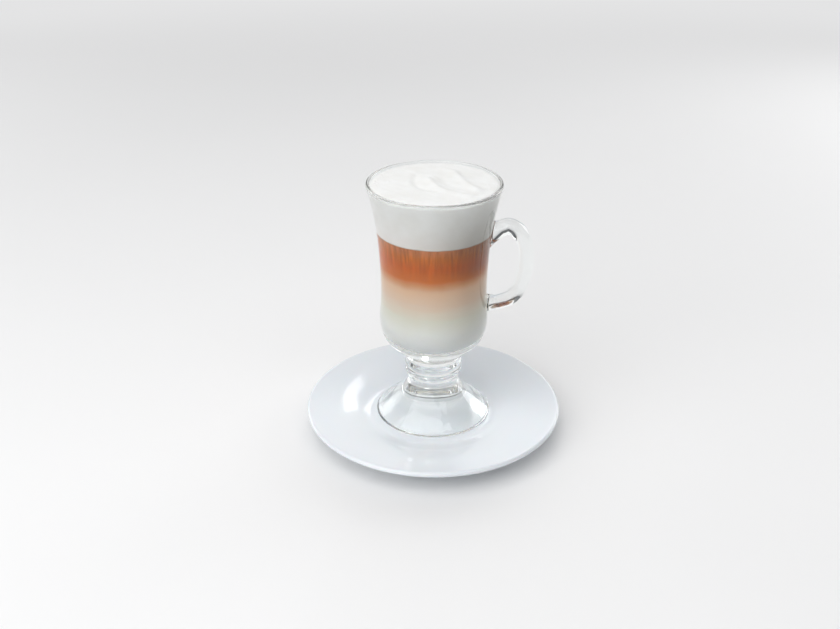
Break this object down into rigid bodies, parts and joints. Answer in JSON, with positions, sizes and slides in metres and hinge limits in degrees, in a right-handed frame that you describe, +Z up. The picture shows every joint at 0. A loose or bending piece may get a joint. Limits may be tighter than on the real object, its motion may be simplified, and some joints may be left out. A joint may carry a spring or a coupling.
{
  "type": "latte",
  "caption": "Layered latte of steamed milk, coffee and white foam in a footed glass mug with an ear-shaped handle, standing on a round white porcelain saucer.",
  "frame": {"origin": "middle of the saucer's foot ring, in the plane where it meets the table", "axes": "+Z up, +X towards the mug's handle, +Y away from the viewer; the mug's axis stands 3 mm towards +Y of the saucer's"},
  "size_m": [0.1538, 0.1538, 0.156],
  "materials": {
    "porcelain": "white glazed porcelain, faintly cool",
    "clear_glass": "clear polished pressed glass",
    "steamed_milk": "opaque milk, off-white, warmer near the coffee above it",
    "coffee": "milky coffee, orange-brown, opaque",
    "milk_foam": "fine white milk foam with soft folds on top"
  },
  "bodies": {
    "root": {"saucer": "porcelain", "glass_mug": "clear_glass", "milk_layer": "steamed_milk", "coffee_layer": "coffee", "milk_foam": "milk_foam"}
  },
  "joints": []
}
